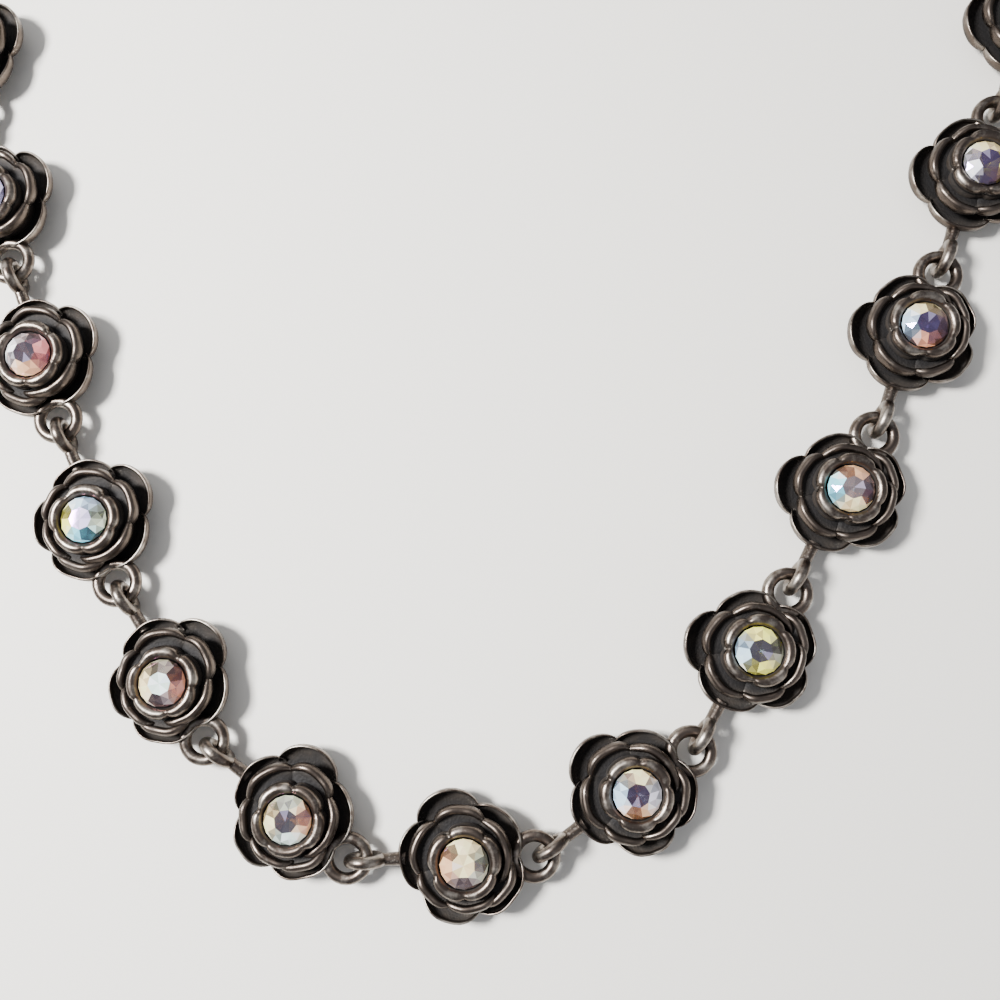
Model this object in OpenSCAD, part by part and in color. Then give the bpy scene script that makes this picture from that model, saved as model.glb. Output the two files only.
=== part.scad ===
// Choker made of twenty-two cast rose links and a plain clasp, closed in a loop and lying flat.
// Each link is one casting: five cupped outer petals, six inner petals, a bud that holds a
// round crystal, a ring that lies flat at one end and a loop that stands upright at the other.
// The upright loop of each link passes through the flat ring of the link before it.
// Units are millimetres. +Z is up from the surface, +Y runs from the front of the loop to the
// clasp, and the origin is the middle of the loop on the surface.

/* [Petals] */
// Thickness of the cast petal walls
petal_wall = 0.4; // [0.35:0.05:0.5]
// Height of the outer petals' rims above the surface
outer_rim_z = 3.0; // [2.8:0.1:3.2]
// Height of the inner petals' rims above the surface
inner_rim_z = 4.1; // [4.0:0.05:4.2]
// Turn of the inner petals against the outer ones, in degrees
inner_turn = -12; // [-15:1:-9]

/* [Crystal] */
// Diameter of the crystals
stone_d = 4.6; // [4.4:0.1:4.6]
// Width of the table across its flats, as a share of the diameter
table_share = 0.48; // [0.44:0.02:0.54]
// Height of the table above the surface
table_z = 5.5; // [5.4:0.05:5.6]
// Gap between crystal and setting
stone_gap = 0.12; // [0.11:0.01:0.14]

/* [Loops] */
// Diameter of the rings' and loops' wire
wire_d = 1.12; // [1.04:0.02:1.16]
// Diameter of the flat ring, to the middle of its wire
ring_d = 3.76; // [3.72:0.02:3.84]
// Diameter of the upright loop, to the middle of its wire
loop_d = 2.9; // [2.88:0.01:2.94]

/* [Clasp] */
// Length of the clasp's barrel
barrel_length = 8.0; // [7:0.5:9]
// Diameter of the clasp's barrel
barrel_d = 4.0; // [3.6:0.1:4.2]

/* [Hidden] */
$fn = 48;

// Outer petals: direction from the flat ring, reach from the rose's axis
OUTER_PETALS = [
  [42, 6.1],
  [110, 6.8],
  [175, 6.4],
  [241, 6.3],
  [318, 6.2],
];
// Inner petals: direction before the turn, reach from the rose's axis
INNER_PETALS = [
  [30, 4.3],
  [107, 4.9],
  [173, 4.9],
  [232, 4.6],
  [290, 4.4],
  [338, 4.7],
];
// Bud lobes: direction, height of the ball's middle
BUD_LOBES = [
  [20, 3.25],
  [90, 3.40],
  [155, 3.20],
  [232, 3.40],
  [308, 3.30],
];
// Heading of each link that hangs round the front, from the left side to the right
FRONT_HEADINGS = [-80, -72, -70, -67, -58, -37, 2, 34, 58, 60, 67, 68, 70];
HIDDEN_LEFT = 4;
HIDDEN_RIGHT = 5;

// Each petal is a piece of a ball whose middle lies above the petal's rim
outer_cup_r = 3.0;
outer_cup_rise = 0.9;
inner_cup_r = 2.3;
inner_cup_rise = 0.3;

// Solid back of the rose: the pad it lies on and the core that carries the petals
pad_r = 2.6;
pad_h = 1.5;
core_r = 3.85;
core_z = 0.95;
core_h = 1.7;

// Bud: a cup with a rolled lip and five lobes wrapped round it
crown_h = 0.85;
girdle_z = table_z - crown_h;
lip_r = 2.85;
lip_wire_r = 0.48;
lip_z = girdle_z - 0.2;
cup_foot_r = 2.7;
lobe_r = 2.0;
lobe_reach = 3.68;
seat_r = stone_d / 2 + stone_gap;
seat_depth = 2.2;
point_depth = 1.65;
girdle_edge = 0.05;

// Places of the flat ring and the upright loop on their link
wire_r = wire_d / 2;
ring_at = 6.45;
ring_z = 2.0;
loop_lift = 0.05;
loop_at = 10.95 - loop_d / 2;
loop_z = loop_d / 2 + wire_r + loop_lift;
stem_z = 1.9;
neck_z = 1.4;
slack = 0.35;
link_in = loop_at + loop_d / 2;
link_out = ring_at + slack;
pitch = link_in + link_out;

// Places of the clasp's ring and loop
barrel_edge_r = 0.9;
eye_gap = 0.8;
eye_bar_r = 0.6;
clasp_loop_at = barrel_length / 2 + eye_gap + loop_d / 2;
clasp_ring_at = barrel_length / 2 + eye_gap + ring_d / 2;
clasp_in = clasp_loop_at + loop_d / 2;
clasp_out = clasp_ring_at + slack;
clasp_pitch = clasp_in + clasp_out;

// Layout of the loop
// The front links follow their headings. The rest of the loop bends by one equal turn at each
// joint, and that turn is worked out so that the chain closes on itself.
function ray(a) = [cos(a), sin(a)];
function total(v, i = 0) = i >= len(v) ? [0, 0] : v[i] + total(v, i + 1);
back_lengths = [
  for (k = [0:HIDDEN_RIGHT + HIDDEN_LEFT]) k == HIDDEN_RIGHT ? clasp_pitch : pitch
];
function back_span(turn) =
  total([for (k = [0:len(back_lengths) - 1]) back_lengths[k] * ray(k * turn)]);
open_end = -total([for (a = FRONT_HEADINGS) pitch * ray(a)]);
function even_turn(least, most, steps) =
  let (half = (least + most) / 2)
  steps == 0 ? half
  : norm(back_span(half)) > norm(open_end) ? even_turn(half, most, steps - 1)
  : even_turn(least, half, steps - 1);
back_turn = even_turn(5, 40, 40);
back_chord = back_span(back_turn);
back_start = atan2(open_end[1], open_end[0]) - atan2(back_chord[1], back_chord[0]);
back_headings = [for (k = [0:len(back_lengths) - 1]) back_start + k * back_turn];

// Every member in order from the clasp: left back, front, right back and the clasp itself last
headings = concat(
  [for (k = [HIDDEN_RIGHT + 1:HIDDEN_RIGHT + HIDDEN_LEFT]) back_headings[k]],
  FRONT_HEADINGS,
  [for (k = [0:HIDDEN_RIGHT]) back_headings[k]]
);
count = len(headings) - 1;
lengths = [for (i = [0:count]) i == count ? clasp_pitch : pitch];
joints = [
  for (i = 0, p = [0, 0]; i <= count; p = p + lengths[i] * ray(headings[i]), i = i + 1) p
];
places = [
  for (i = [0:count]) joints[i] + (i == count ? clasp_in : link_in) * ray(headings[i])
];
low = [min([for (p = places) p[0]]), min([for (p = places) p[1]])];
high = [max([for (p = places) p[0]]), max([for (p = places) p[1]])];
middle = (low + high) / 2;

module at_member(i) {
  translate([places[i][0] - middle[0], places[i][1] - middle[1], 0])
    rotate([0, 0, headings[i]])
      children();
}

// Balls of one tier of petals. rim_reach is the radius of a petal's ball at its rim.
module petal_balls(table, turn, rim_reach, ball_z, ball_r) {
  for (p = table)
    rotate([0, 0, p[0] + turn])
      translate([p[1] - rim_reach, 0, ball_z])
        sphere(r = ball_r);
}

// One tier of cupped petals: a wall of even thickness, open upwards, cut off level at its rim.
// What the children add outside the petals is kept out of the cups.
module petal_tier(table, turn, rim_z, cup_r, cup_rise) {
  rim_reach = sqrt(cup_r * cup_r - cup_rise * cup_rise);
  ball_z = rim_z + cup_rise;
  difference() {
    union() {
      petal_balls(table, turn, rim_reach, ball_z, cup_r);
      children();
    }
    petal_balls(table, turn, rim_reach, ball_z, cup_r - petal_wall);
    translate([0, 0, rim_z])
      cylinder(r = 12, h = 6);
  }
}

module torus(mean_d, r) {
  rotate_extrude()
    translate([mean_d / 2, 0])
      circle(r = r);
}

module flat_ring(x) {
  translate([x, 0, ring_z])
    torus(ring_d, wire_r);
}

module upright_loop(x) {
  translate([-x, 0, loop_z])
    rotate([90, 0, 0])
      torus(loop_d, wire_r);
}

module bar(x1, x2, z, r) {
  translate([x1, 0, z])
    rotate([0, 90, 0])
      cylinder(r = r, h = x2 - x1);
}

module bud() {
  translate([0, 0, core_z])
    cylinder(r1 = cup_foot_r, r2 = lip_r, h = lip_z - core_z);
  translate([0, 0, lip_z])
    torus(2 * lip_r, lip_wire_r);
  for (p = BUD_LOBES)
    rotate([0, 0, p[0]])
      translate([lobe_reach - lobe_r, 0, p[1]])
        sphere(r = lobe_r);
}

// Straight seat round the girdle and a cone under it for the crystal's point
module crystal_seat() {
  translate([0, 0, girdle_z - 0.2])
    cylinder(r = seat_r, h = 4);
  translate([0, 0, girdle_z - seat_depth])
    cylinder(r1 = 0.2, r2 = seat_r, h = seat_depth - 0.199);
}

module rose_casting() {
  difference() {
    union() {
      cylinder(r = pad_r, h = pad_h);
      translate([0, 0, core_z])
        cylinder(r = core_r, h = core_h);
      petal_tier(OUTER_PETALS, 0, outer_rim_z, outer_cup_r, outer_cup_rise) {
        bar(-loop_at + loop_d / 2 - 0.2, -core_r + 0.5, stem_z, wire_r);
        bar(core_r - 0.5, ring_at - ring_d / 2 + 0.2, neck_z, wire_r);
      }
      petal_tier(INNER_PETALS, inner_turn, inner_rim_z, inner_cup_r, inner_cup_rise);
      bud();
      flat_ring(ring_at);
      upright_loop(loop_at);
    }
    crystal_seat();
  }
}

// Eight-sided cone whose flats lie at distance flat1 from the axis at height z1, flat2 at z2
module octagon_cone(z1, flat1, z2, flat2, turn) {
  across = 1 / cos(22.5);
  rotate([0, 0, 22.5 + turn])
    translate([0, 0, z1])
      cylinder(r1 = flat1 * across, r2 = flat2 * across, h = z2 - z1, $fn = 8);
}

// Round crystal: a flat octagonal table, eight main facets, eight steeper facets between them,
// a girdle of sixteen narrow sides and an eight-sided point underneath. Its heights count from
// the girdle.
module cut_crystal() {
  girdle_r = stone_d / 2;
  table_r = girdle_r * table_share;
  slope = (girdle_r - table_r) / (crown_h - girdle_edge);
  point_slope = girdle_r / (point_depth - girdle_edge);
  below = 2;
  translate([0, 0, girdle_z])
    intersection() {
      translate([0, 0, -below])
        linear_extrude(height = below + crown_h)
          polygon([for (k = [0:15]) girdle_r * ray((k + 0.5) * 22.5)]);
      octagon_cone(-below, table_r + slope * (crown_h + below), crown_h, table_r, 0);
      octagon_cone(
        -below, girdle_r + below + girdle_edge,
        crown_h, girdle_r - crown_h + girdle_edge, 22.5
      );
      octagon_cone(-point_depth, 0, crown_h, point_slope * (crown_h + point_depth), 0);
    }
}

// Half outline of the barrel, straight in the middle and rounded at both ends
module barrel_outline() {
  half = barrel_length / 2;
  translate([0, -half])
    square([barrel_d / 2 - barrel_edge_r, 2 * half]);
  translate([0, -half + barrel_edge_r])
    square([barrel_d / 2, 2 * half - 2 * barrel_edge_r]);
  for (s = [-1, 1])
    translate([barrel_d / 2 - barrel_edge_r, s * (half - barrel_edge_r)])
      circle(r = barrel_edge_r);
}

// Wire clasp with a plain rounded barrel
module clasp_casting() {
  half = barrel_length / 2;
  translate([0, 0, barrel_d / 2])
    rotate([0, 90, 0])
      rotate_extrude()
        barrel_outline();
  bar(half - 0.5, half + eye_gap + 0.3, ring_z, eye_bar_r);
  flat_ring(clasp_ring_at);
  bar(-half - eye_gap - 0.1, -half + 0.5, ring_z, eye_bar_r);
  upright_loop(clasp_loop_at);
}

function two_digits(i) = str(i < 10 ? "0" : "", i);
function rose_name(i) = str("rose_", two_digits(i));
function crystal_name(i) = str("crystal_", two_digits(i));

module rose(i) {
  color([0.36, 0.33, 0.31])
    at_member(i - 1)
      rose_casting();
}

module crystal(i) {
  color([0.80, 0.82, 0.92])
    at_member(i - 1)
      cut_crystal();
}

module clasp() {
  color([0.40, 0.37, 0.35])
    at_member(count)
      clasp_casting();
}

for (i = [1:count]) {
  rose(i);
  crystal(i);
}
clasp();
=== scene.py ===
import math

import bpy
import numpy as np
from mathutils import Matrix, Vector


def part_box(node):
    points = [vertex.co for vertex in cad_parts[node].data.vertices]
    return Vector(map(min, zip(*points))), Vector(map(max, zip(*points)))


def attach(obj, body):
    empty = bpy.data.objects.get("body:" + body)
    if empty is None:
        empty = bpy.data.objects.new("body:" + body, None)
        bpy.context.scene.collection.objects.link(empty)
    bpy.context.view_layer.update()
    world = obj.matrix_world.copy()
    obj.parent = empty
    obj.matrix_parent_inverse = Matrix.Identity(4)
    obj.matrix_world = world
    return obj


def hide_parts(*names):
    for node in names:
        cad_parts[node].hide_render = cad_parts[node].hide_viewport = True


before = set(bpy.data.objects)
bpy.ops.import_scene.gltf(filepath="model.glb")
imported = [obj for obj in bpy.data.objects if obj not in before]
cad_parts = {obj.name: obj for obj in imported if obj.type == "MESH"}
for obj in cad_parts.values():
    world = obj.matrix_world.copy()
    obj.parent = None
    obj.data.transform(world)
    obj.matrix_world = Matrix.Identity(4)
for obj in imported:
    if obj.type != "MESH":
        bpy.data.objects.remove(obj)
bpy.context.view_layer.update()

# Floor, light and camera
# A pale matt table top, one soft key light from the left, weak lights from the right and from
# behind, and a pale surround. The camera looks down on the front of the choker, as in the photo.
FLOOR_SIZE = 3.0
FLOOR_COLOUR = (0.80, 0.77, 0.71, 1)
FLOOR_ROUGHNESS = 0.8
SURROUND_COLOUR = (0.86, 0.90, 1.0, 1)
SURROUND_STRENGTH = 0.38
KEY_FROM = Vector((-0.76, 0.12, 1.0))
KEY_DISTANCE = 0.32
KEY_SIZE = 0.070
KEY_POWER = 3.9
WEAK_DISTANCE = 0.60
FILL_FROM = Vector((0.9, -0.5, 0.7))
FILL_SIZE = 0.5
FILL_POWER = 0.5
BACK_FROM = Vector((-0.35, 0.9, 0.8))
BACK_SIZE = 0.5
BACK_POWER = 1.0
LOOK_AT = Vector((0, -0.037, 0))
# The camera's place, turn and lens put the links where the photo has them
CAMERA_AT = (0.00495, -0.05161, 0.09960)
CAMERA_TURN = (math.radians(7.50), math.radians(1.92), math.radians(0.07))
LENS = 36.07
FILM_WIDTH = 36
NEAR_LIMIT = 0.005

scene = bpy.context.scene
eye = bpy.data.cameras.new("eye")
eye.sensor_width = FILM_WIDTH
eye.lens = LENS
eye.clip_start = NEAR_LIMIT
eye_object = bpy.data.objects.new("eye", eye)
eye_object.location = CAMERA_AT
eye_object.rotation_mode = "YXZ"
eye_object.rotation_euler = CAMERA_TURN
scene.collection.objects.link(eye_object)
scene.camera = eye_object


def soft_light(name, toward, distance, size, power):
    """A square area light on the line from the choker toward the given direction."""
    lamp = bpy.data.lights.new(name, "AREA")
    lamp.size = size
    lamp.energy = power
    lamp_object = bpy.data.objects.new(name, lamp)
    direction = toward.normalized()
    lamp_object.location = LOOK_AT + direction * distance
    lamp_object.rotation_euler = direction.to_track_quat("Z", "Y").to_euler()
    scene.collection.objects.link(lamp_object)


soft_light("key", KEY_FROM, KEY_DISTANCE, KEY_SIZE, KEY_POWER)
soft_light("fill", FILL_FROM, WEAK_DISTANCE, FILL_SIZE, FILL_POWER)
soft_light("back", BACK_FROM, WEAK_DISTANCE, BACK_SIZE, BACK_POWER)
surround = bpy.data.worlds.new("surround")
surround.use_nodes = True
surround_shader = surround.node_tree.nodes["Background"]
surround_shader.inputs["Color"].default_value = SURROUND_COLOUR
surround_shader.inputs["Strength"].default_value = SURROUND_STRENGTH
scene.world = surround

floor_mesh = bpy.data.meshes.new("floor")
half = FLOOR_SIZE / 2
floor_mesh.from_pydata(
    [(-half, -half, 0), (half, -half, 0), (half, half, 0), (-half, half, 0)], [], [(0, 1, 2, 3)]
)
floor_paint = bpy.data.materials.new("pale_table")
floor_paint.use_nodes = True
floor_shader = floor_paint.node_tree.nodes["Principled BSDF"]
floor_shader.inputs["Base Color"].default_value = FLOOR_COLOUR
floor_shader.inputs["Roughness"].default_value = FLOOR_ROUGHNESS
floor_mesh.materials.append(floor_paint)
floor = bpy.data.objects.new("floor", floor_mesh)
scene.collection.objects.link(floor)

# Rose castings
# Each link is one casting in white metal: outer and inner petals, the bud's lip, a pad behind,
# a flat ring at one end and an upright loop at the other. It is dipped in a near-black bath
# and rubbed back to warm pewter on its rims and lips, with bright specks where it is scuffed.
# Down in its cups and at the crystal's seat the black is deepened with painted shade.
# Soot-black: the bath's black deepened into painted shade where the cups and the crystal's seat lie
# in shadow
SOOT_AND_SHADE = (0.013, 0.012, 0.012, 1)
PATINA = (0.031, 0.028, 0.026, 1)
PATINA_BROWN = (0.048, 0.040, 0.034, 1)
BURNISHED = (0.108, 0.085, 0.070, 1)
BRIGHT = (0.42, 0.38, 0.33, 1)
MOTTLE_PER_M = 900
GRAIN_PER_M = 5200
PIT_PER_M = 3600
# How far the mottle and the grain shift the wear, and the middle band of a noise that is used
MOTTLE_SHIFT, GRAIN_SHIFT = 0.24, 0.06
NOISE_BAND = (0.3, 0.7)
# Wear over which painted shade in soot-black passes to patina, patina to burnished metal, and
# that to bright metal
SOOTY_AND_SHADED, RUBBED, SHINING = (-0.4, 0.0), (0.10, 0.95), (0.95, 1.45)
# Distance from a speck's middle over which it ends, as a share of the specks' spacing
SPECK_EDGE = (0.22, 0.40)
# Roughness of the dark patina and of the burnished metal, and what bright edges add to it
DULL, POLISHED, SHINE_DULLS = 0.60, 0.31, 0.12
BUMP_HEIGHT = 0.00009


def antique_metal(name):
    """Mixes soot-black deepened into painted shade, patina, burnished metal and bright specks by
    the piece's own attributes of wear with painted shade and of pits, broken up by noise in
    Object coordinates, with a fine cast bump."""
    paint = bpy.data.materials.new(name)
    paint.use_nodes = True
    nodes, links = paint.node_tree.nodes, paint.node_tree.links
    shader = nodes["Principled BSDF"]
    place = nodes.new("ShaderNodeTexCoord")
    wear_and_shade = nodes.new("ShaderNodeAttribute")
    wear_and_shade.attribute_name = "wear_and_shade"
    pits = nodes.new("ShaderNodeAttribute")
    pits.attribute_name = "pits"

    mottle = nodes.new("ShaderNodeTexNoise")
    mottle.inputs["Scale"].default_value = MOTTLE_PER_M
    mottle.inputs["Detail"].default_value = 4
    grain = nodes.new("ShaderNodeTexNoise")
    grain.inputs["Scale"].default_value = GRAIN_PER_M
    grain.inputs["Detail"].default_value = 3
    specks = nodes.new("ShaderNodeTexVoronoi")
    specks.inputs["Scale"].default_value = PIT_PER_M
    for texture in (mottle, grain, specks):
        links.new(place.outputs["Object"], texture.inputs["Vector"])

    def spread(source, low, high, to_low=0.0, to_high=1.0):
        """Maps source from low..high to to_low..to_high, clamped."""
        step = nodes.new("ShaderNodeMapRange")
        step.inputs["From Min"].default_value = low
        step.inputs["From Max"].default_value = high
        step.inputs["To Min"].default_value = to_low
        step.inputs["To Max"].default_value = to_high
        links.new(source, step.inputs["Value"])
        return step.outputs["Result"]

    def combine(kind, a, b):
        """One Math node on two sources or numbers."""
        step = nodes.new("ShaderNodeMath")
        step.operation = kind
        for socket, value in zip(step.inputs, (a, b)):
            if isinstance(value, (int, float)):
                socket.default_value = value
            else:
                links.new(value, socket)
        return step.outputs["Value"]

    def blend(share, a, b):
        """Mixes colour a into colour b by share."""
        step = nodes.new("ShaderNodeMix")
        step.data_type = "RGBA"
        links.new(share, step.inputs["Factor"])
        for socket, value in ((step.inputs[6], a), (step.inputs[7], b)):
            if isinstance(value, tuple):
                socket.default_value = value
            else:
                links.new(value, socket)
        return step.outputs[2]

    patches = spread(mottle.outputs["Fac"], *NOISE_BAND, -MOTTLE_SHIFT, MOTTLE_SHIFT)
    fine = spread(grain.outputs["Fac"], *NOISE_BAND, -GRAIN_SHIFT, GRAIN_SHIFT)
    uneven = combine("ADD", combine("ADD", wear_and_shade.outputs["Fac"], patches), fine)
    rubbed = spread(uneven, *RUBBED)
    dark = blend(spread(mottle.outputs["Fac"], 0.35, 0.65), PATINA, PATINA_BROWN)
    # Where the wear falls below nothing the patina passes to soot-black: painted shade in the cups
    # and at the crystal's seat
    dark = blend(spread(wear_and_shade.outputs["Fac"], *SOOTY_AND_SHADED), SOOT_AND_SHADE, dark)
    metal = blend(rubbed, dark, BURNISHED)
    near_speck = spread(specks.outputs["Distance"], *SPECK_EDGE, 1.0, 0.0)
    scuffed = combine("MULTIPLY", near_speck, pits.outputs["Fac"])
    edge_shine = spread(uneven, *SHINING)
    bright_share = combine("MAXIMUM", scuffed, edge_shine)
    links.new(blend(bright_share, metal, BRIGHT), shader.inputs["Base Color"])
    polish = spread(rubbed, 0, 1, DULL, POLISHED)
    dulled = combine("ADD", polish, combine("MULTIPLY", edge_shine, SHINE_DULLS))
    links.new(dulled, shader.inputs["Roughness"])
    links.new(spread(rubbed, 0, 0.6, 0.20, 1.0), shader.inputs["Metallic"])
    shader.inputs["Specular IOR Level"].default_value = 0.12

    recess = spread(wear_and_shade.outputs["Fac"], 0.1, 0.8, 1.0, 0.15)
    dents = combine("MULTIPLY", specks.outputs["Distance"], 0.6)
    relief = combine("MULTIPLY", combine("ADD", dents, grain.outputs["Fac"]), recess)
    bump = nodes.new("ShaderNodeBump")
    bump.inputs["Strength"].default_value = 0.5
    bump.inputs["Distance"].default_value = BUMP_HEIGHT
    links.new(relief, bump.inputs["Height"])
    links.new(bump.outputs["Normal"], shader.inputs["Normal"])
    return paint


casting_metal = antique_metal("antiqued_white_metal")

# Sizes in millimetres in the link's own frame, with +x from the bud to the flat ring
MM = 0.001
# Petals of each tier: where a petal's rim begins and ends round the bud in degrees, its
# distance from the bud's axis at its beginning, middle and end, and its height
OUTER_PETALS = [
    (0, 80, 4.70, 5.60, 4.70, 2.85),
    (74, 146, 4.90, 6.50, 5.30, 2.90),
    (138, 218, 5.20, 6.15, 4.70, 2.80),
    (212, 286, 4.75, 5.80, 4.85, 2.75),
    (281, 366, 4.85, 5.75, 4.60, 2.85),
]
INNER_PETALS = [
    (-34, 70, 3.60, 4.00, 3.95, 4.00),
    (60, 130, 3.75, 4.70, 4.30, 3.95),
    (124, 198, 4.30, 4.75, 4.20, 3.90),
    (190, 250, 4.10, 4.45, 4.10, 3.82),
    (242, 314, 3.95, 4.20, 3.90, 3.92),
    (292, 360, 4.25, 4.55, 4.10, 3.62),
]
# A slow and a quick wave along each petal's rim
SLOW_WAVE, QUICK_WAVE = 0.05, 0.03
PAD_R, CORE_R, CORE_LOW, CORE_HIGH = 2.6, 3.85, 0.95, 2.65
WIRE_R = 0.60
POLE_R = 0.05
RING_AT, RING_R, RING_Z = 6.45, 1.88, 2.0
LOOP_AT, LOOP_R, LOOP_Z = 9.5, 1.45, 2.06
# Bars that join the loop and the ring to the petals: inner end, and height and radius at the
# end with the lesser x and at the other
STEM_FROM, STEM_Z, STEM_R, STEM_TALL = -5.7, (1.95, 1.5), (0.56, 0.66), 1.35
NECK_FROM, NECK_Z, NECK_R = 3.3, (1.6, 1.9), (0.60, 0.50)
LIP_INNER_R, LIP_OUTER_R, LIP_TOP_Z, LIP_HALF_HEIGHT = 2.36, 3.14, 5.04, 0.60
# Where the lip's roll begins, at the crystal, and ends, in degrees round its section
LIP_ARC = (180, -35)
# The flank below the roll, as distance out from the roll's widest and height, and the back of
# the wall, hidden in the core, as distance from the axis and height
LIP_FLANK = np.array([[0.02, 3.95], [0.06, 3.6], [-0.02, 3.1], [-0.35, 2.4]])
LIP_BACK = np.array([[1.9, 2.4], [2.05, 3.9]])
# How far a lobe of the lip stands out and up, and how deep and wide the creases are
LOBE_OUT, LOBE_UP, LOBE_DEGREES = 0.40, 0.12, 72
CREASE_DEPTH, CREASE_DEGREES = 0.12, 5.0
# Creases where the lip's lobes overlap: direction in degrees and depth as a share of the deepest
LIP_CREASES = np.array([[50, 0.55], [118, 1.0], [200, 0.7], [268, 0.35], [340, 0.5]])


def turned(degrees):
    """Unit vectors at the given directions."""
    radians = np.radians(degrees)
    return np.stack([np.cos(radians), np.sin(radians)], -1)


def smooth_step(x, low, high):
    """Rises from 0 at low to 1 at high without a kink: 3t^2 - 2t^3."""
    t = np.clip((x - low) / (high - low), 0, 1)
    return t * t * (3 - 2 * t)


def offset_wall(middle, half_wall, cap_steps):
    """Closed wall round a middle surface. Each row of the grid runs from the root to the rim;
    the wall stands half_wall to both sides along the surface's normal and is closed over the
    rim by a half circle of that radius. Columns: inner side, cap, outer side back to the root."""
    along = np.gradient(middle, axis=1)
    around = np.gradient(middle, axis=0)
    normal = np.cross(around, along)
    normal /= np.linalg.norm(normal, axis=2, keepdims=True)
    upward = along[:, -1] / np.linalg.norm(along[:, -1], axis=1, keepdims=True)
    inner = middle - normal * half_wall[..., None]
    outer = middle + normal * half_wall[..., None]
    beta = np.linspace(0, np.pi, cap_steps + 2)[1:-1]
    reach = half_wall[:, -1][:, None, None]
    cap = middle[:, -1][:, None, :] + reach * (
        -np.cos(beta)[None, :, None] * normal[:, -1][:, None, :]
        + np.sin(beta)[None, :, None] * upward[:, None, :]
    )
    return np.concatenate([inner, cap, outer[:, ::-1]], axis=1)


def petal(shape, root, bed, bulge, wall, rim_wall, dip, across_n, up_n, cap_n):
    """Grid of one petal, a curved wall that stands on the castings' core. Its middle line at each
    direction is a cubic curve from the root, out along the bed, round a bulge and up to the
    rim: p = (1-t)^3 a + 3(1-t)^2 t b + 3(1-t) t^2 c + t^3 d. The rim swings out between its two
    ends by (1 - |u|^2.6) and sinks by dip toward them, with small waves as in a hand-made model."""
    begin, end, r_begin, r_middle, r_end, rim_z = shape
    share = np.linspace(0, 1, across_n)
    u = 2 * share - 1
    theta = begin + (end - begin) * share
    swing = 1 - np.abs(u) ** 2.6
    rim_r = r_begin + (r_end - r_begin) * share + (r_middle - (r_begin + r_end) / 2) * swing
    wave = SLOW_WAVE * np.sin(np.radians(5 * theta + 3 * begin))
    wave = wave + QUICK_WAVE * np.sin(np.radians(11 * theta))
    rim_r = rim_r + wave * swing
    rim_z = rim_z - dip * np.abs(u) ** 3 + 1.2 * wave * swing
    stand = 1 - 0.6 * np.abs(u) ** 6
    t = np.linspace(0, 1, up_n)[None, :]
    still = np.ones(across_n)
    r_points = (root[0] * still, rim_r - bed[0], rim_r + bulge * stand, rim_r)
    z_points = (root[1] * still, bed[1] * still, (bed[1] + 0.1) * still, rim_z)
    weights = ((1 - t) ** 3, 3 * (1 - t) ** 2 * t, 3 * (1 - t) * t**2, t**3)
    rho = sum(point[:, None] * weight for point, weight in zip(r_points, weights))
    z = sum(point[:, None] * weight for point, weight in zip(z_points, weights))
    middle = np.concatenate([turned(theta)[:, None, :] * rho[..., None], z[..., None]], 2)
    thin_out = 1 - 0.35 * np.abs(u) ** 2.5 - 0.45 * np.abs(u) ** 8
    half_wall = (wall + (rim_wall - wall) * smooth_step(t, 0.6, 1.0)) / 2 * thin_out[:, None]
    grid = offset_wall(middle, half_wall, cap_n)

    # Wear: bright along the rim, narrower and brighter on a thin one, a little on the outer side,
    # and painted shade in soot-black down in the cup. Pits gather near the petal's two ends.
    rise = np.concatenate([t[0], np.ones(cap_n), t[0, ::-1]])
    side = np.concatenate([np.zeros(up_n), np.linspace(0, 1, cap_n), np.ones(up_n)])
    crest = 1.45 - 0.62 * rim_wall
    broad = 0.90 - 0.5 * rim_wall
    patchy = 0.86 + 0.14 * np.sin(np.radians(3 * theta + 40))
    worn_and_shaded = smooth_step(rise, broad, 1.0) * (crest - 0.40 * side) * patchy[:, None]
    worn_and_shaded = worn_and_shaded + 0.25 * side * smooth_step(rise, 0.3, 0.8)
    # Painted shade: the cup's inner side near the root is pushed below no wear, to soot-black
    worn_and_shaded = worn_and_shaded - 0.4 * (1 - side) * (1 - smooth_step(rise, 0.25, 0.75))
    near_end = np.abs(u) ** 5
    pitted = near_end[:, None] * smooth_step(rise, 0.4, 0.9)[None, :]
    return grid, worn_and_shaded, pitted


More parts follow.
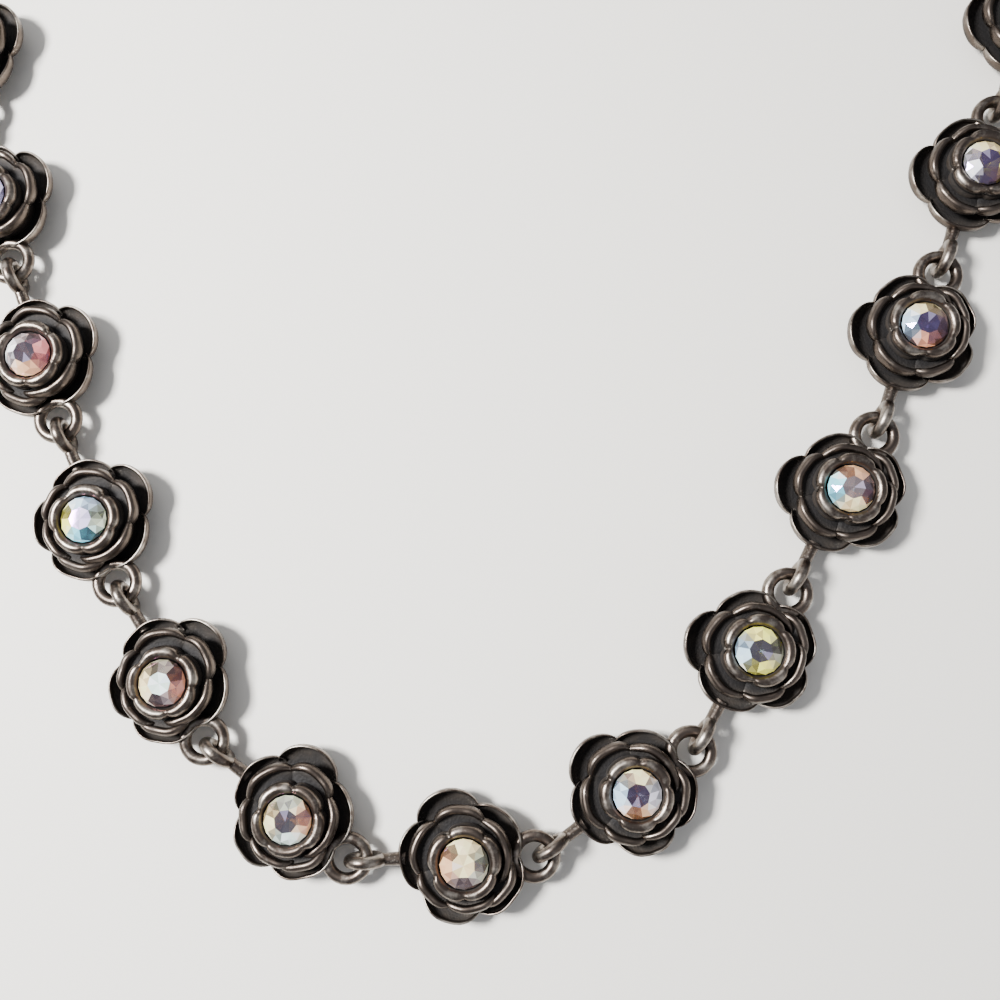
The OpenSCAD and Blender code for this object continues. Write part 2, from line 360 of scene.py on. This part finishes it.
def bud_lip(around_n, arc_n):
    """Grid of the bud's rolled lip. Its section is half an ellipse from the crystal's seat over
    the lip, carried on down the bud's full flank and closed inside the core. Between two
    creases the lip swells out and up to a lobe by (1 - |2s - 1|^3), and each crease cuts in by a
    bell curve. Its inner side, next to the crystal, stays soot-black, as painted shade."""
    theta = np.arange(around_n) * 360 / around_n
    behind = (theta[:, None] - LIP_CREASES[None, :, 0]) % 360
    through = behind.min(1) / LOBE_DEGREES
    depth = LIP_CREASES[behind.argmin(1), 1]
    pillow = (1 - np.abs(2 * np.clip(through, 0, 1) - 1) ** 3) * (0.45 + 0.55 * depth)
    apart = (behind + 180) % 360 - 180
    crease = (LIP_CREASES[None, :, 1] * np.exp(-((apart / CREASE_DEGREES) ** 2))).sum(1)
    reach = LIP_OUTER_R + LOBE_OUT * pillow - CREASE_DEPTH * crease
    reach = reach + SLOW_WAVE * np.cos(np.radians(theta))
    sway = SLOW_WAVE * np.sin(np.radians(2 * theta + 50))
    top = LIP_TOP_Z + LOBE_UP * pillow + sway - CREASE_DEPTH * crease
    centre = (LIP_INNER_R + reach) / 2
    half_width = (reach - LIP_INNER_R) / 2
    phi = np.radians(np.linspace(*LIP_ARC, arc_n))
    rho = centre[:, None] + half_width[:, None] * np.cos(phi)
    z = (top - LIP_HALF_HEIGHT)[:, None] + LIP_HALF_HEIGHT * np.sin(phi)
    below = np.concatenate([LIP_FLANK[:, 1], LIP_BACK[:, 1]])
    flank_rho = reach[:, None] + LIP_FLANK[:, 0]
    back_rho = np.broadcast_to(LIP_BACK[:, 0], (around_n, len(LIP_BACK)))
    rho = np.concatenate([rho, flank_rho, back_rho], 1)
    z = np.concatenate([z, np.broadcast_to(below, (around_n, len(below)))], 1)
    grid = np.concatenate([turned(theta)[:, None, :] * rho[..., None], z[..., None]], 2)
    # Wear: rubbed bright over the roll, from lower down on the outer side than on the inner
    rubbed_from = np.where(np.cos(phi) < 0, 0.1, -0.3)
    rubbed_and_shaded = smooth_step(np.sin(phi), rubbed_from, rubbed_from + 0.8)
    # Painted shade: low on the roll, below where the rubbing begins, it drops to soot-black
    rubbed_and_shaded = rubbed_and_shaded - 0.4 * (rubbed_from > np.sin(phi))
    rubbed_and_shaded = np.concatenate([rubbed_and_shaded, [0.2, 0.1, 0, 0, -0.4, -0.4]])
    worn_and_shaded = rubbed_and_shaded[None, :] * (1 - 0.45 * crease[:, None])
    outside = np.concatenate([smooth_step(np.cos(phi), -0.2, 0.8), np.zeros(len(below))])
    pitted = crease[:, None] * outside
    return grid, worn_and_shaded, pitted


def turned_profile(profile, around_n):
    """Surface of revolution: the profile's points (rho, z) carried round the axis."""
    theta = np.arange(around_n) * 360 / around_n
    profile = np.array(profile, float)
    flat = turned(theta)[:, None, :] * profile[None, :, :1]
    return np.concatenate([flat, np.broadcast_to(profile[None, :, 1:], flat.shape[:2] + (1,))], 2)


def wire_circle(centre, first, second, mean_r, around_n, section_n=18, unevenness=0.03):
    """Round wire bent to a circle through the directions first and second: centre + (R + r cos s)
    outward - r sin s across. The wire's radius r thins by up to unevenness, as in a casting."""
    t = np.arange(around_n) * 2 * np.pi / around_n
    s = np.arange(section_n) * 2 * np.pi / section_n
    outward = np.cos(t)[:, None] * first + np.sin(t)[:, None] * second
    across = np.cross(first, second)
    swell = (np.sin(3 * t + 1) + 0.6 * np.sin(5 * t) - 1) / 2
    thick = WIRE_R * (1 + unevenness * swell)
    return (
        centre
        + mean_r * outward[:, None, :]
        + thick[:, None, None]
        * (np.cos(s)[None, :, None] * outward[:, None, :] - np.sin(s)[None, :, None] * across)
    )


def tapered_bar(x1, x2, heights, radii, along_n, around_n=16, tall=1.0):
    """Bar along x from x1 to x2 whose height and radius pass evenly from the first of their
    values to the second, with flat ends. Its section is an ellipse, tall times as high as it
    is wide."""
    share = np.concatenate([[0, 0], np.linspace(0, 1, along_n), [1, 1]])
    radius = radii[0] + (radii[1] - radii[0]) * share
    radius[[0, -1]] = POLE_R
    s = np.arange(around_n) * 2 * np.pi / around_n
    x = np.broadcast_to((x1 + (x2 - x1) * share)[None, :], (around_n, share.size))
    y = np.cos(s)[:, None] * radius
    level = heights[0] + (heights[1] - heights[0]) * share
    z = level[None, :] - np.sin(s)[:, None] * radius * tall
    return np.stack([x, y, z], 2)


def even(grid, value):
    """The same attribute value at every point of a grid."""
    return np.full(grid.shape[:2], float(value))


def grid_faces(rows, columns, start, kind):
    """Quads between neighbouring points of a grid. A "ring" closes both ways, a "turned" grid
    closes round its rows, and a "leaf" closes round its columns. The open rims that are left, a
    turned grid's small rings at its poles and a leaf's first and last row, are each zipped
    shut with quads from the rim's two ends to its middle."""
    i = np.arange(rows - 1 if kind == "leaf" else rows)[:, None]
    j = np.arange(columns - 1 if kind == "turned" else columns)[None, :]
    next_i, next_j = (i + 1) % rows, (j + 1) % columns
    row, next_row = i * columns, next_i * columns
    corners = (row + j, row + next_j, next_row + next_j, next_row + j)
    quads = np.stack(np.broadcast_arrays(*corners), -1).reshape(-1, 4)
    if kind == "leaf":
        low = np.arange(columns // 2 - 1)
        high = columns - 1 - low
        across = np.stack([low, low + 1, high - 1, high], 1)
        quads = np.concatenate([quads, across[:, ::-1], across + (rows - 1) * columns])
    if kind == "turned":
        low = np.arange(rows // 2 - 1)
        high = rows - 1 - low
        across = np.stack([low, low + 1, high - 1, high], 1) * columns
        quads = np.concatenate([quads, across, across[:, ::-1] + columns - 1])
    return quads + start


def joined(parts):
    """Joins grids into one set of points, quads and attribute values. Each part holds its grid,
    wear with painted shade, pits and the kind of grid that it is."""
    points, quads, worn_and_shaded, pitted = [], [], [], []
    start = 0
    for grid, wear_and_shade, pits, kind in parts:
        rows, columns = grid.shape[:2]
        quads.append(grid_faces(rows, columns, start, kind))
        points.append(grid.reshape(-1, 3))
        worn_and_shaded.append(np.broadcast_to(wear_and_shade, (rows, columns)).ravel())
        pitted.append(np.broadcast_to(pits, (rows, columns)).ravel())
        start += rows * columns
    return tuple(np.concatenate(values) for values in (points, quads, worn_and_shaded, pitted))


def metal_piece(name, points, quads, worn_and_shaded, pitted, paint):
    """Mesh object from points in metres, with its wear with painted shade, and its pits, stored
    at each point.
    """
    mesh = bpy.data.meshes.new(name)
    mesh.vertices.add(len(points))
    mesh.vertices.foreach_set("co", points.astype(np.float32).ravel())
    mesh.loops.add(quads.size)
    mesh.loops.foreach_set("vertex_index", quads.astype(np.int32).ravel())
    mesh.polygons.add(len(quads))
    mesh.polygons.foreach_set("loop_start", np.arange(0, quads.size, 4, dtype=np.int32))
    mesh.update(calc_edges=True)
    mesh.validate()
    mesh.shade_smooth()
    for label, values in (("wear_and_shade", worn_and_shaded), ("pits", pitted)):
        layer = mesh.attributes.new(label, "FLOAT", "POINT")
        layer.data.foreach_set("value", values.astype(np.float32))
    mesh.materials.append(paint)
    piece = bpy.data.objects.new(name, mesh)
    scene.collection.objects.link(piece)
    return piece


def rose_parts():
    """Every surface of one link in its own frame, with its wear and painted shade, its pits and its
    kind of grid.
    """
    x, y, z = np.eye(3)
    parts = []
    for shape in OUTER_PETALS:
        leaf = petal(
            shape, root=(2.9, 1.5), bed=(1.7, 1.05), bulge=0.35,
            wall=0.42, rim_wall=0.24, dip=0.75, across_n=44, up_n=15, cap_n=4,
        )
        parts.append((*leaf, "leaf"))
    for shape in INNER_PETALS:
        leaf = petal(
            shape, root=(2.5, 3.15), bed=(0.95, 2.85), bulge=0.55,
            wall=0.86, rim_wall=0.74, dip=0.62, across_n=38, up_n=13, cap_n=8,
        )
        parts.append((*leaf, "leaf"))
    parts.append((*bud_lip(around_n=160, arc_n=18), "ring"))
    # Pad and core from the underside up, with their edges broken
    pad = [(POLE_R, 0), (PAD_R - 0.15, 0), (PAD_R, 0.15), (PAD_R, CORE_LOW)]
    core = [
        (CORE_R - 0.5, CORE_LOW),
        (CORE_R, CORE_LOW + 0.4),
        (CORE_R, CORE_HIGH - 0.3),
        (CORE_R - 0.3, CORE_HIGH),
        (POLE_R, CORE_HIGH),
    ]
    back = turned_profile(pad + core, around_n=48)[:, ::-1]
    ring_centre, loop_centre = np.array([RING_AT, 0, RING_Z]), np.array([-LOOP_AT, 0, LOOP_Z])
    ring = wire_circle(ring_centre, x, y, RING_R, around_n=64, unevenness=0.05)
    loop = wire_circle(loop_centre, -x, z, LOOP_R, around_n=56, unevenness=0.04)
    loop_edge, ring_edge = -LOOP_AT + LOOP_R - 0.1, RING_AT - RING_R + 0.15
    stem = tapered_bar(loop_edge, STEM_FROM, STEM_Z, STEM_R, along_n=5, tall=STEM_TALL)
    neck = tapered_bar(NECK_FROM, ring_edge, NECK_Z, NECK_R, along_n=4)
    return parts + [
        (back, even(back, 0.12), 0, "turned"),
        (ring, even(ring, 0.98), 0, "ring"),
        (loop, even(loop, 1.04), 0, "ring"),
        (stem, even(stem, 0.7), 0.3, "turned"),
        (neck, even(neck, 0.35), 0.2, "turned"),
    ]


def place_of(rose, crystal):
    """Centre of a link, from its crystal's box, and its heading: the casting's farthest points
    from that centre are the outer bend of its upright loop, which points against the heading."""
    low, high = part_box(crystal)
    centre = np.array([(low.x + high.x) / 2, (low.y + high.y) / 2])
    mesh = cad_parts[rose].data
    spots = np.empty(len(mesh.vertices) * 3)
    mesh.vertices.foreach_get("co", spots)
    apart = spots.reshape(-1, 3)[:, :2] - centre
    far = np.linalg.norm(apart, axis=1)
    tip = apart[far > far.max() - 0.02 * MM].mean(0)
    return centre, -tip / np.linalg.norm(tip)


def set_down(points, centre, heading):
    """Turns points in millimetres to the heading and moves them to the centre, in metres."""
    x, y = points[:, 0] * MM, points[:, 1] * MM
    return np.stack(
        [
            centre[0] + x * heading[0] - y * heading[1],
            centre[1] + x * heading[1] + y * heading[0],
            points[:, 2] * MM,
        ],
        1,
    )


COUNT = sum(name.startswith("rose_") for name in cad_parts)
rose_shape = joined(rose_parts())
places = []
for number in range(1, COUNT + 1):
    label = f"rose_{number:02d}"
    centre, heading = place_of(label, f"crystal_{number:02d}")
    places.append((centre, heading))
    rose = metal_piece(
        f"{label}_casting", set_down(rose_shape[0], centre, heading), *rose_shape[1:], casting_metal
    )
    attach(rose, "root")
    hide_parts(label)

# Crystals
# Round machine-cut glass stones with a foiled point and a rainbow coating: a flat table, eight
# main facets, sixteen small ones at the girdle and eight behind. They drop into the buds.
GIRDLE_R, GIRDLE_Z = 2.25, 4.65
TABLE_R, TABLE_Z = 1.0, 5.5
GIRDLE_HALF = 0.05
TIP_R = 1.99
POINT_DEPTH = 1.62
# How far the middle of a main facet may stand proud of it, for a glint on one of its shards
HUB_RISE = 0.13
# How many shards the table and each main facet have, and the numbers at which the small
# facets, the girdle's sides and the facets behind begin. The girdle is ground and shows grey.
TABLE_SHARDS, MAIN_SHARDS = 8, 5
FIRST_SMALL, FIRST_SIDE, FIRST_BEHIND = 48, 64, 80
EDGE_GREY = 0.2
# Painted glints, light and dark, of the main facets, of their shards and of the table's: least,
# and span of the wave that is added; the steps of that wave from facet to facet and crystal
# to crystal
FACET_PAINTED_GLINT, SHARD_PAINTED_GLINT, TABLE_PAINTED_GLINT = (0.34, 1.50), (0.74, 0.55), (0.85, 0.30)
FACET_STEP, CRYSTAL_STEP = 2.4, 1.7
# How strongly one shard of the table shows a painted reflection of the sky
PAINTED_SKY_SHARE = 0.4
# Tints of the coating and of the painted reflections on it, as linear red, green and blue
TINTS = {
    "white": (0.90, 0.92, 1.0),
    "ice": (0.45, 0.63, 0.80),
    "aqua": (0.20, 0.64, 0.80),
    "mint": (0.80, 1.0, 0.90),
    "sage": (0.36, 0.40, 0.29),
    "olive": (0.20, 0.19, 0.13),
    "lemon": (0.90, 0.84, 0.16),
    "cream": (1.0, 0.80, 0.42),
    "peach": (0.98, 0.52, 0.28),
    "copper": (0.48, 0.21, 0.12),
    "pink": (0.74, 0.24, 0.22),
    "lilac": (0.72, 0.66, 0.98),
    "mauve": (0.30, 0.25, 0.25),
    "violet": (0.085, 0.064, 0.105),
    "indigo": (0.090, 0.075, 0.165),
    "smoke": (0.110, 0.102, 0.118),
}
# How much light passes the coating where its tint is dark and where it is pale
CLEAR_WHERE_DARK, CLEAR_WHERE_PALE = 0.80, 0.15
GLASS_IOR, COATING_IOR, COATING_NM = 1.56, 1.7, 330
# Colours that each crystal shows, the coating's own with painted reflections, laid on by which
# way a facet faces in the scene: table, left, top, right, bottom
SHOWS = [
    ("lilac", "white", "ice", "lilac", "white"),
    ("smoke", "white", "mauve", "pink", "peach"),
    ("lilac", "lemon", "ice", "sage", "aqua"),
    ("mint", "cream", "olive", "copper", "mauve"),
    ("smoke", "cream", "sage", "peach", "mint"),
    ("cream", "peach", "cream", "sage", "mauve"),
    ("violet", "ice", "cream", "white", "peach"),
    ("smoke", "ice", "lemon", "sage", "lemon"),
    ("mauve", "aqua", "peach", "smoke", "cream"),
    ("indigo", "ice", "cream", "violet", "copper"),
    ("indigo", "white", "cream", "lemon", "violet"),
]
# Crystal of the first row. The rows are used again round the rest of the loop.
FIRST_SHOWN = 6


def crystal_shape():
    """Corners and faces of one cut crystal, in millimetres from its axis. Rings of corners: the
    table, the tips where a girdle facet meets two main ones, and the girdle's upper and lower
    edge; then the point, and the middles of the table and of the main facets, from which these
    facets are split into flat shards. A main facet's middle stands proud along the facet's
    normal by HUB_RISE (1 + cos(2.4k + 0.8)) / 2, so that its shards glint one by one."""
    eighth = np.arange(8) * 45.0
    sixteenth = np.arange(16) * 22.5
    corner = 1 / math.cos(math.radians(22.5))
    slope = (GIRDLE_R - TABLE_R) / (TABLE_Z - GIRDLE_Z - GIRDLE_HALF)
    crown = TABLE_Z - GIRDLE_Z
    tip_z = crown - (TIP_R / corner - TABLE_R) / slope
    table = np.column_stack([turned(eighth + 22.5) * TABLE_R * corner, np.full(8, crown)])
    tips = np.column_stack([turned(eighth + 22.5) * TIP_R, np.full(8, tip_z)])
    upper = np.column_stack([turned(sixteenth) * GIRDLE_R, np.full(16, GIRDLE_HALF)])
    lower = np.column_stack([turned(sixteenth) * GIRDLE_R, np.full(16, -GIRDLE_HALF)])
    point = np.array([[0, 0, -POINT_DEPTH]])
    corners = np.concatenate([table, tips, upper, lower, point])
    k = np.arange(8)
    # Numbers of the first tip, upper and lower corner, of the point and of the table's middle
    tip, up, low, lowest, middle = 8, 16, 32, 48, 49
    before = (k - 1) % 8
    after = (2 * k + 2) % 16
    mains = np.stack([before, before + tip, 2 * k + up, k + tip, k], 1)
    outward = np.column_stack([turned(eighth) * slope, np.ones(8)]) / math.hypot(slope, 1)
    raised = HUB_RISE * (0.5 + 0.5 * np.cos(2.4 * k + 0.8))[:, None] * outward
    corners = np.concatenate([corners, [[0, 0, crown]], corners[mains].mean(1) + raised])
    corners[:, 2] += GIRDLE_Z
    faces = np.stack([k, (k + 1) % 8, np.full(8, middle)], 1).tolist()
    hub = np.repeat((middle + 1 + k)[:, None], MAIN_SHARDS, 1)
    faces += np.stack([mains, np.roll(mains, -1, 1), hub], 2).reshape(-1, 3).tolist()
    faces += np.stack([k + tip, 2 * k + up, 2 * k + 1 + up], 1).tolist()
    faces += np.stack([k + tip, 2 * k + 1 + up, after + up], 1).tolist()
    side = np.arange(16)
    next_side = (side + 1) % 16
    faces += np.stack([side + up, side + low, next_side + low, next_side + up], 1).tolist()
    back = [2 * k + low, np.full(8, lowest), after + low, 2 * k + 1 + low]
    faces += np.stack(back, 1).tolist()
    return corners, faces


def tint_between(shown, directions):
    """Colour of a facet that faces each direction: the four side colours, each weighed by the
    fourth power of how squarely the facet faces its side."""
    sides = np.array([TINTS[name] for name in shown[1:]])
    toward = np.array([[-1, 0], [0, 1], [1, 0], [0, -1]])
    weight = np.clip(directions @ toward.T, 0.02, None) ** 4
    return (weight / weight.sum(1, keepdims=True)) @ sides


def coating_with_painted_glints(shown, directions, number):
    """Colour of every facet of one crystal: the coating's tint with painted glints. Each main
    facet is lit by a painted flash, a wave of its number, (1 + cos(2.4 facet + 1.7 crystal)) / 2,
    and each shard by a painted glint, the same wave of its own number; the product lights the
    tint, and what passes full light is mostly drawn back to it. The table shows its own tint,
    with lilac mixed into the one shard that shows a painted reflection of the sky."""
    k = np.arange(len(directions))
    main_facet = 1 + (k - TABLE_SHARDS) // MAIN_SHARDS
    facet = np.where(k < TABLE_SHARDS, 0, np.where(k < FIRST_SMALL, main_facet, k))
    painted_flash = 0.5 + 0.5 * np.cos(FACET_STEP * facet + CRYSTAL_STEP * number)
    painted_glint = 0.5 + 0.5 * np.cos(FACET_STEP * k + CRYSTAL_STEP * number)
    strength = (FACET_PAINTED_GLINT[0] + FACET_PAINTED_GLINT[1] * painted_flash) * (SHARD_PAINTED_GLINT[0] + SHARD_PAINTED_GLINT[1] * painted_glint)
    lit = tint_between(shown, directions) * strength[:, None]
    colour = np.ones((len(k), 4))
    colour[:, :3] = lit / np.maximum(lit.max(1, keepdims=True), 1) ** 0.8
    table_strength = TABLE_PAINTED_GLINT[0] + TABLE_PAINTED_GLINT[1] * painted_glint[:TABLE_SHARDS, None]
    colour[:TABLE_SHARDS, :3] = np.array(TINTS[shown[0]]) * table_strength
    # Painted reflection of the sky on one shard of the table
    painted_sky_shard = colour[number % TABLE_SHARDS, :3]
    painted_sky_shard[:] = (1 - PAINTED_SKY_SHARE) * painted_sky_shard + PAINTED_SKY_SHARE * np.array(TINTS["lilac"])
    colour[FIRST_SIDE:FIRST_BEHIND, :3] = EDGE_GREY
    return colour.clip(0, 1)


def crystal_glass():
    """Clear glass whose facets take their colour from an attribute that holds the coating's tint
    with painted glints. Where the coating shows pale it hides the glass, where it shows dark one
    looks through to the foil."""
    paint = bpy.data.materials.new("coated_glass")
    paint.use_nodes = True
    nodes, links = paint.node_tree.nodes, paint.node_tree.links
    shader = nodes["Principled BSDF"]
    tint_and_painted_glint = nodes.new("ShaderNodeAttribute")
    tint_and_painted_glint.attribute_name = "tint_and_painted_glint"
    links.new(tint_and_painted_glint.outputs["Color"], shader.inputs["Base Color"])
    shader.inputs["Roughness"].default_value = 0.03
    shader.inputs["IOR"].default_value = GLASS_IOR
    shader.inputs["Specular IOR Level"].default_value = 0.3
    grey = nodes.new("ShaderNodeRGBToBW")
    links.new(tint_and_painted_glint.outputs["Color"], grey.inputs["Color"])
    clear = nodes.new("ShaderNodeMapRange")
    clear.inputs["To Min"].default_value = CLEAR_WHERE_DARK
    clear.inputs["To Max"].default_value = CLEAR_WHERE_PALE
    links.new(grey.outputs["Val"], clear.inputs["Value"])
    links.new(clear.outputs["Result"], shader.inputs["Transmission Weight"])
    shader.inputs["Thin Film Thickness"].default_value = COATING_NM
    shader.inputs["Thin Film IOR"].default_value = COATING_IOR
    return paint


def crystal_foil():
    """Mirror foil on the facets behind, seen through the glass, coloured by the same attribute
    with painted glints.
    """
    paint = bpy.data.materials.new("mirror_foil")
    paint.use_nodes = True
    nodes, links = paint.node_tree.nodes, paint.node_tree.links
    shader = nodes["Principled BSDF"]
    tint_and_painted_glint = nodes.new("ShaderNodeAttribute")
    tint_and_painted_glint.attribute_name = "tint_and_painted_glint"
    links.new(tint_and_painted_glint.outputs["Color"], shader.inputs["Base Color"])
    shader.inputs["Metallic"].default_value = 1
    shader.inputs["Roughness"].default_value = 0.24
    return paint


glass = crystal_glass()
foil = crystal_foil()
crystal_corners, crystal_faces = crystal_shape()
for number, (centre, heading) in enumerate(places, 1):
    shown = SHOWS[(number - FIRST_SHOWN) % len(SHOWS)]
    label = f"crystal_{number:02d}"
    mesh = bpy.data.meshes.new(f"{label}_cut")
    mesh.from_pydata(set_down(crystal_corners, centre, heading).tolist(), [], crystal_faces)
    mesh.update()
    spots = np.empty(len(mesh.polygons) * 3)
    mesh.polygons.foreach_get("center", spots)
    spots = spots.reshape(-1, 3)[:, :2] - centre
    directions = spots / np.maximum(np.linalg.norm(spots, axis=1, keepdims=True), 1e-9)
    colour = coating_with_painted_glints(shown, directions, number)
    behind = np.arange(len(colour)) >= FIRST_BEHIND
    # The coating's tint with painted glints and a painted reflection of the sky, one colour a face
    layer = mesh.attributes.new("tint_and_painted_glint", "FLOAT_COLOR", "FACE")
    layer.data.foreach_set("color", colour.astype(np.float32).ravel())
    mesh.materials.append(glass)
    mesh.materials.append(foil)
    mesh.polygons.foreach_set("material_index", behind.astype(np.int32))
    stone = bpy.data.objects.new(f"{label}_cut", mesh)
    scene.collection.objects.link(stone)
    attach(stone, "root")
    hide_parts(label)

# Clasp
# A plain rounded barrel with a flat ring and an upright loop, cast in the same white metal and
# antiqued like the links. It joins the two ends of the chain behind the neck.
BARREL_R, BARREL_HALF, BARREL_EDGE, BARREL_SIDES = 2.0, 4.0, 0.9, 40
# Groove near each end: distance along the barrel and depth
GROOVE = np.array([[2.75, 0], [2.6, -0.12], [2.45, -0.12], [2.3, 0]])
# Gap between the barrel's end and the inner bend of its ring or loop, and the bar across it
EYE_GAP = 0.8
BAR_FROM, BAR_Z, BAR_R = 3.5, (RING_Z, RING_Z), (0.58, 0.50)


def barrel_grid():
    """Barrel lying along x: a turned profile with round ends and a shallow groove at each end."""
    bend = np.radians(np.linspace(90, 0, 8))
    end_x = BARREL_HALF - BARREL_EDGE + BARREL_EDGE * np.sin(bend)
    end_r = BARREL_R - BARREL_EDGE + BARREL_EDGE * np.cos(bend)
    groove = GROOVE + [0, BARREL_R]
    right = np.concatenate([[[BARREL_HALF, POLE_R]], np.column_stack([end_x, end_r]), groove])
    profile = np.concatenate([right, right[::-1] * [-1, 1]])
    s = np.arange(BARREL_SIDES) * 2 * np.pi / BARREL_SIDES
    x = np.broadcast_to(profile[:, 0], (BARREL_SIDES, len(profile)))
    y = np.cos(s)[:, None] * profile[:, 1]
    z = BARREL_R + np.sin(s)[:, None] * profile[:, 1]
    return np.stack([x, y, z], 2)


x, y, z = np.eye(3)
ring_x = BARREL_HALF + EYE_GAP + RING_R
loop_x = BARREL_HALF + EYE_GAP + LOOP_R
barrel = barrel_grid()
clasp_ring = wire_circle(np.array([ring_x, 0, RING_Z]), x, y, RING_R, around_n=64)
clasp_loop = wire_circle(np.array([-loop_x, 0, LOOP_Z]), -x, z, LOOP_R, around_n=56)
ring_edge, loop_edge = BARREL_HALF + EYE_GAP + 0.2, -BARREL_HALF - EYE_GAP - 0.05
ring_bar = tapered_bar(BAR_FROM, ring_edge, BAR_Z, BAR_R, along_n=4)
loop_bar = tapered_bar(loop_edge, -BAR_FROM, BAR_Z, BAR_R[::-1], along_n=4)
clasp_shape = joined([
    (barrel, even(barrel, 0.60), 0, "turned"),
    (clasp_ring, even(clasp_ring, 1.0), 0, "ring"),
    (clasp_loop, even(clasp_loop, 1.0), 0, "ring"),
    (ring_bar, even(ring_bar, 0.7), 0, "turned"),
    (loop_bar, even(loop_bar, 0.7), 0, "turned"),
])
last_centre, last_heading = places[-1]
first_centre, first_heading = places[0]
clasp_from = last_centre + last_heading * (RING_AT + 0.35) * MM
clasp_to = first_centre - first_heading * (LOOP_AT + LOOP_R) * MM
clasp_heading = (clasp_to - clasp_from) / np.linalg.norm(clasp_to - clasp_from)
clasp_centre = clasp_from + clasp_heading * (loop_x + LOOP_R) * MM
clasp_points = set_down(clasp_shape[0], clasp_centre, clasp_heading)
clasp = metal_piece("clasp_barrel", clasp_points, *clasp_shape[1:], casting_metal)
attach(clasp, "root")
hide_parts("clasp")
